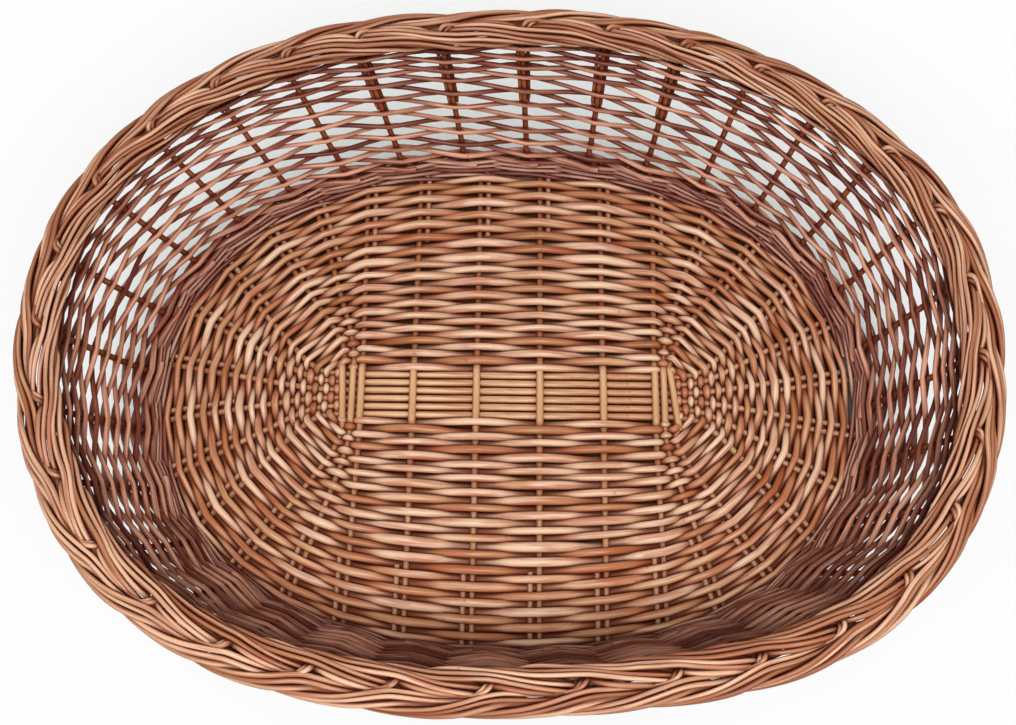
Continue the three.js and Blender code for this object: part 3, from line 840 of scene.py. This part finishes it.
# Each route is a list of stakes travelled, mm outward of the rim's middle line and mm above it
BORDER_ROUTES = (
    (
        (-0.03, -1.5, -12), (-0.02, -6.0, -4), (-0.01, -6.6, 3.0), (0.01, -4.6, 8.6),
        (0.05, -1.4, 10.6), (0.12, 1.2, 9.4), (0.22, 2.4, 7.4), (0.38, 2.7, 6.6), (0.6, 2.6, 8.2),
        (0.85, 1.9, 9.8), (1.0, 2.0, 11.0), (1.15, 4.0, 11.0), (1.35, 7.6, 10.2), (1.55, 10.8, 8.6),
        (1.8, 13.4, 6.0), (2.1, 14.8, 2.6), (2.4, 13.8, -0.8), (2.7, 9.0, -2.8), (2.92, 2.5, -0.5),
        (3.08, -2.0, 5.0), (3.22, -3.6, 8.4), (3.5, -6.0, 9.8), (3.75, -9.0, 9.6),
        (4.0, -12.2, 8.6), (4.3, -13.2, 7.4), (4.6, -13.8, 6.0), (4.9, -15.4, 3.6),
        (5.15, -15.6, 0.6), (5.35, -12.6, -3.4), (5.5, -8.5, -6.5),
    ),
    (
        (0.03, -1.5, -12), (0.03, -5.6, -4), (0.04, -5.8, 2.4), (0.07, -3.6, 7.4), (0.12, 0.0, 8.2),
        (0.19, 3.4, 6.8), (0.29, 5.8, 5.4), (0.42, 6.8, 5.2), (0.65, 6.5, 7.2), (0.85, 5.8, 8.8),
        (1.0, 6.0, 9.9), (1.15, 8.0, 9.6), (1.35, 11.4, 8.0), (1.55, 14.2, 6.0), (1.8, 16.2, 3.0),
        (2.1, 16.8, -0.4), (2.4, 15.0, -3.2), (2.7, 10.5, -5), (2.92, 5.5, -2.5), (3.07, 2.6, 2.5),
        (3.2, 1.0, 7.2), (3.5, -2.2, 10.2), (3.75, -5.6, 10.6), (4.0, -8.9, 10.2), (4.3, -9.6, 9.6),
        (4.6, -10.4, 8.8), (4.8, -11.8, 7.4), (5.0, -13.6, 5.4), (5.25, -15.4, 3.6),
        (5.5, -16.4, 1.4), (5.7, -14.6, -2.4), (5.85, -10, -5.6), (5.95, -7, -8),
    ),
    (
        (0.08, -1.5, -12), (0.1, -4.0, -4), (0.13, -1.0, 2.4), (0.22, 5.0, 2.2), (0.4, 9.2, 0.4),
        (0.7, 9.6, 1.0), (0.9, 9.6, 3.4), (1.1, 12.0, 5.0), (1.35, 15.6, 3.6), (1.6, 17.0, 1.0),
        (1.9, 17.2, -2.2), (2.3, 16.0, -5), (2.7, 12, -6), (2.95, 7.0, -3), (3.15, 4.6, 2.6),
        (3.35, 2.4, 7.2), (3.6, 0.4, 9.8), (3.82, -2.2, 9.4), (3.95, -4.4, 6.4), (4.02, -5.4, 1.6),
        (4.05, -5.6, -3),
    ),
    (
        (0.05, -1.5, -12), (0.12, 1.0, -5), (0.3, 6.0, -4.4), (0.7, 7.6, -3.4), (1.0, 8.6, -1.0),
        (1.3, 11.6, 0.4), (1.6, 13.4, -0.6), (2.0, 13.2, -4.6), (2.5, 9.0, -7), (2.85, 3.0, -5.6),
        (3.1, -2.6, 0.2), (3.3, -6.2, 3.8), (3.6, -7.8, 5.0), (4.0, -11.0, 4.2), (4.5, -12.4, 2.4),
        (4.9, -12.6, -1.2), (5.1, -9, -6),
    ),
)

border_rods = []
for number in range(len(rays)):
    group_shift = dice.uniform(-BORDER_GROUP_SHIFT, BORDER_GROUP_SHIFT)
    for route, relative in zip(BORDER_ROUTES, BORDER_THICKNESSES):
        travelled, out, up = np.array(route).T
        travelled = travelled + np.where(travelled > BORDER_SHIFT_FROM, group_shift, 0)
        out = out * BORDER_NARROWING + BORDER_OUTWARD + dice.uniform(-BORDER_STRAY, BORDER_STRAY)
        out += wander(len(route), BORDER_WAVER_OUT)
        up = up + dice.uniform(-BORDER_STRAY, BORDER_STRAY) + wander(len(route), BORDER_WAVER_UP)
        controls = flowing(np.c_[number - travelled, out * MM, up * MM], BORDER_STEPS)
        plan = rim_place(stake_share(controls[:, 0]), controls[:, 1])
        line = np.c_[plan, RIM_MIDDLE + controls[:, 2]]
        taper = np.linspace(*BORDER_ROD_TAPER, len(line))
        radius = BORDER_ROD_RADIUS * relative * dice.uniform(*BORDER_ROD_SPREAD) * taper
        border_rods.append((line, radius))
border = bend_rods("plaited_border", border_rods)
border_finish = willow(
    "border_willow",
    paint(123, 63, 36), paint(176, 117, 82), paint(230, 182, 149), paint(160, 79, 52),
)
fit(border, border_finish, "border", "border")


# The floor is a plain white sweep that shows white to the camera, with painted shade that makes it
# dark under the basket and a soft grey painted shadow behind the wall. The light is one soft box
# overhead and a little in front, with a bright room round it.
FLOOR_SIZE = 24
FLOOR_ROUGHNESS = 0.9
WHITE = (1.0, 1.0, 1.0, 1.0)
FLOOR_WHITE = (0.8, 0.8, 0.8, 1.0)
FLOOR_BY_REFLECTION = (0.25, 0.25, 0.25, 1.0)
PAINTED_SHADE_UNDER_BASE = (0.04, 0.015, 0.006, 1.0)
BASE_SHADE_REACH = 0.12
SHADOW_REACH = 0.3
SHADOW_GREY = paint(196, 199, 194)
SHADE_SAMPLES = 8
GLOW_SHARE = 0.96
SOFT_BOX_PLACE = (0.02, -0.5, 1.65)
SOFT_BOX_SIZE = 0.55
SOFT_BOX_WATTS = 28
ROOM_LIGHT = 0.19

bpy.ops.mesh.primitive_plane_add(size=FLOOR_SIZE)
floor = bpy.context.object
floor.name = "studio_floor"
floor_material = bpy.data.materials.new("studio_white")
floor_finish = Finish(floor_material)
sweep = floor_finish.tree.nodes["Principled BSDF"]
seen = floor_finish.node("ShaderNodeLightPath", {}, output="Is Camera Ray")
uncovered = floor_finish.openness(BASE_SHADE_REACH, SHADE_SAMPLES)
# Painted shade: where the basket covers the floor its colour goes dark and its glow goes out
outside_painted_shade = floor_finish.step(uncovered, 0.32, 0.7)
towards_light = floor_finish.vector(0.0, -0.6, 0.8)
lit_side = floor_finish.openness(SHADOW_REACH, SHADE_SAMPLES, Normal=towards_light)
floor_colour = floor_finish.blend(outside_painted_shade, PAINTED_SHADE_UNDER_BASE, FLOOR_WHITE)
floor_colour = floor_finish.blend(seen, FLOOR_BY_REFLECTION, floor_colour)
floor_finish.join(floor_colour, sweep.inputs["Base Color"])
floor_finish.join(FLOOR_ROUGHNESS, sweep.inputs["Roughness"])
floor_finish.join(0.0, sweep.inputs["Specular IOR Level"])
# Painted shadow: the floor's glow turns grey where the wall hides the side towards the light
shadow = floor_finish.blend(floor_finish.step(lit_side, 0.4, 0.94), SHADOW_GREY, WHITE)
glow = floor_finish.node("ShaderNodeEmission", {}, shadow, 1.0)
daylit = Value(floor_finish, sweep.outputs[0])
share_glowing = seen * outside_painted_shade * GLOW_SHARE
floor_surface = floor_finish.node("ShaderNodeMixShader", {}, share_glowing, daylit, glow)
floor_finish.join(floor_surface, floor_finish.tree.nodes["Material Output"].inputs["Surface"])
floor.data.materials.append(floor_material)

bpy.ops.object.light_add(type="AREA", location=SOFT_BOX_PLACE)
soft_box = bpy.context.object
soft_box.name = "soft_box"
soft_box.data.size = SOFT_BOX_SIZE
soft_box.data.energy = SOFT_BOX_WATTS
soft_box.rotation_euler = (-soft_box.location).to_track_quat("-Z", "Y").to_euler()

world = bpy.context.scene.world or bpy.data.worlds.new("room")
bpy.context.scene.world = world
room = Finish(world)
room_light = room.tree.nodes["Background"]
room.join(WHITE, room_light.inputs["Color"])
room.join(ROOM_LIGHT, room_light.inputs["Strength"])
seen = room.node("ShaderNodeLightPath", {}, output="Is Camera Ray")
backdrop = room.node("ShaderNodeBackground", {}, WHITE, 1.0)
light = Value(room, room_light.outputs[0])
room_surface = room.node("ShaderNodeMixShader", {}, seen, light, backdrop)
room.join(room_surface, room.tree.nodes["World Output"].inputs["Surface"])

bpy.context.scene.view_settings.view_transform = "Standard"
bpy.ops.object.select_all(action="DESELECT")
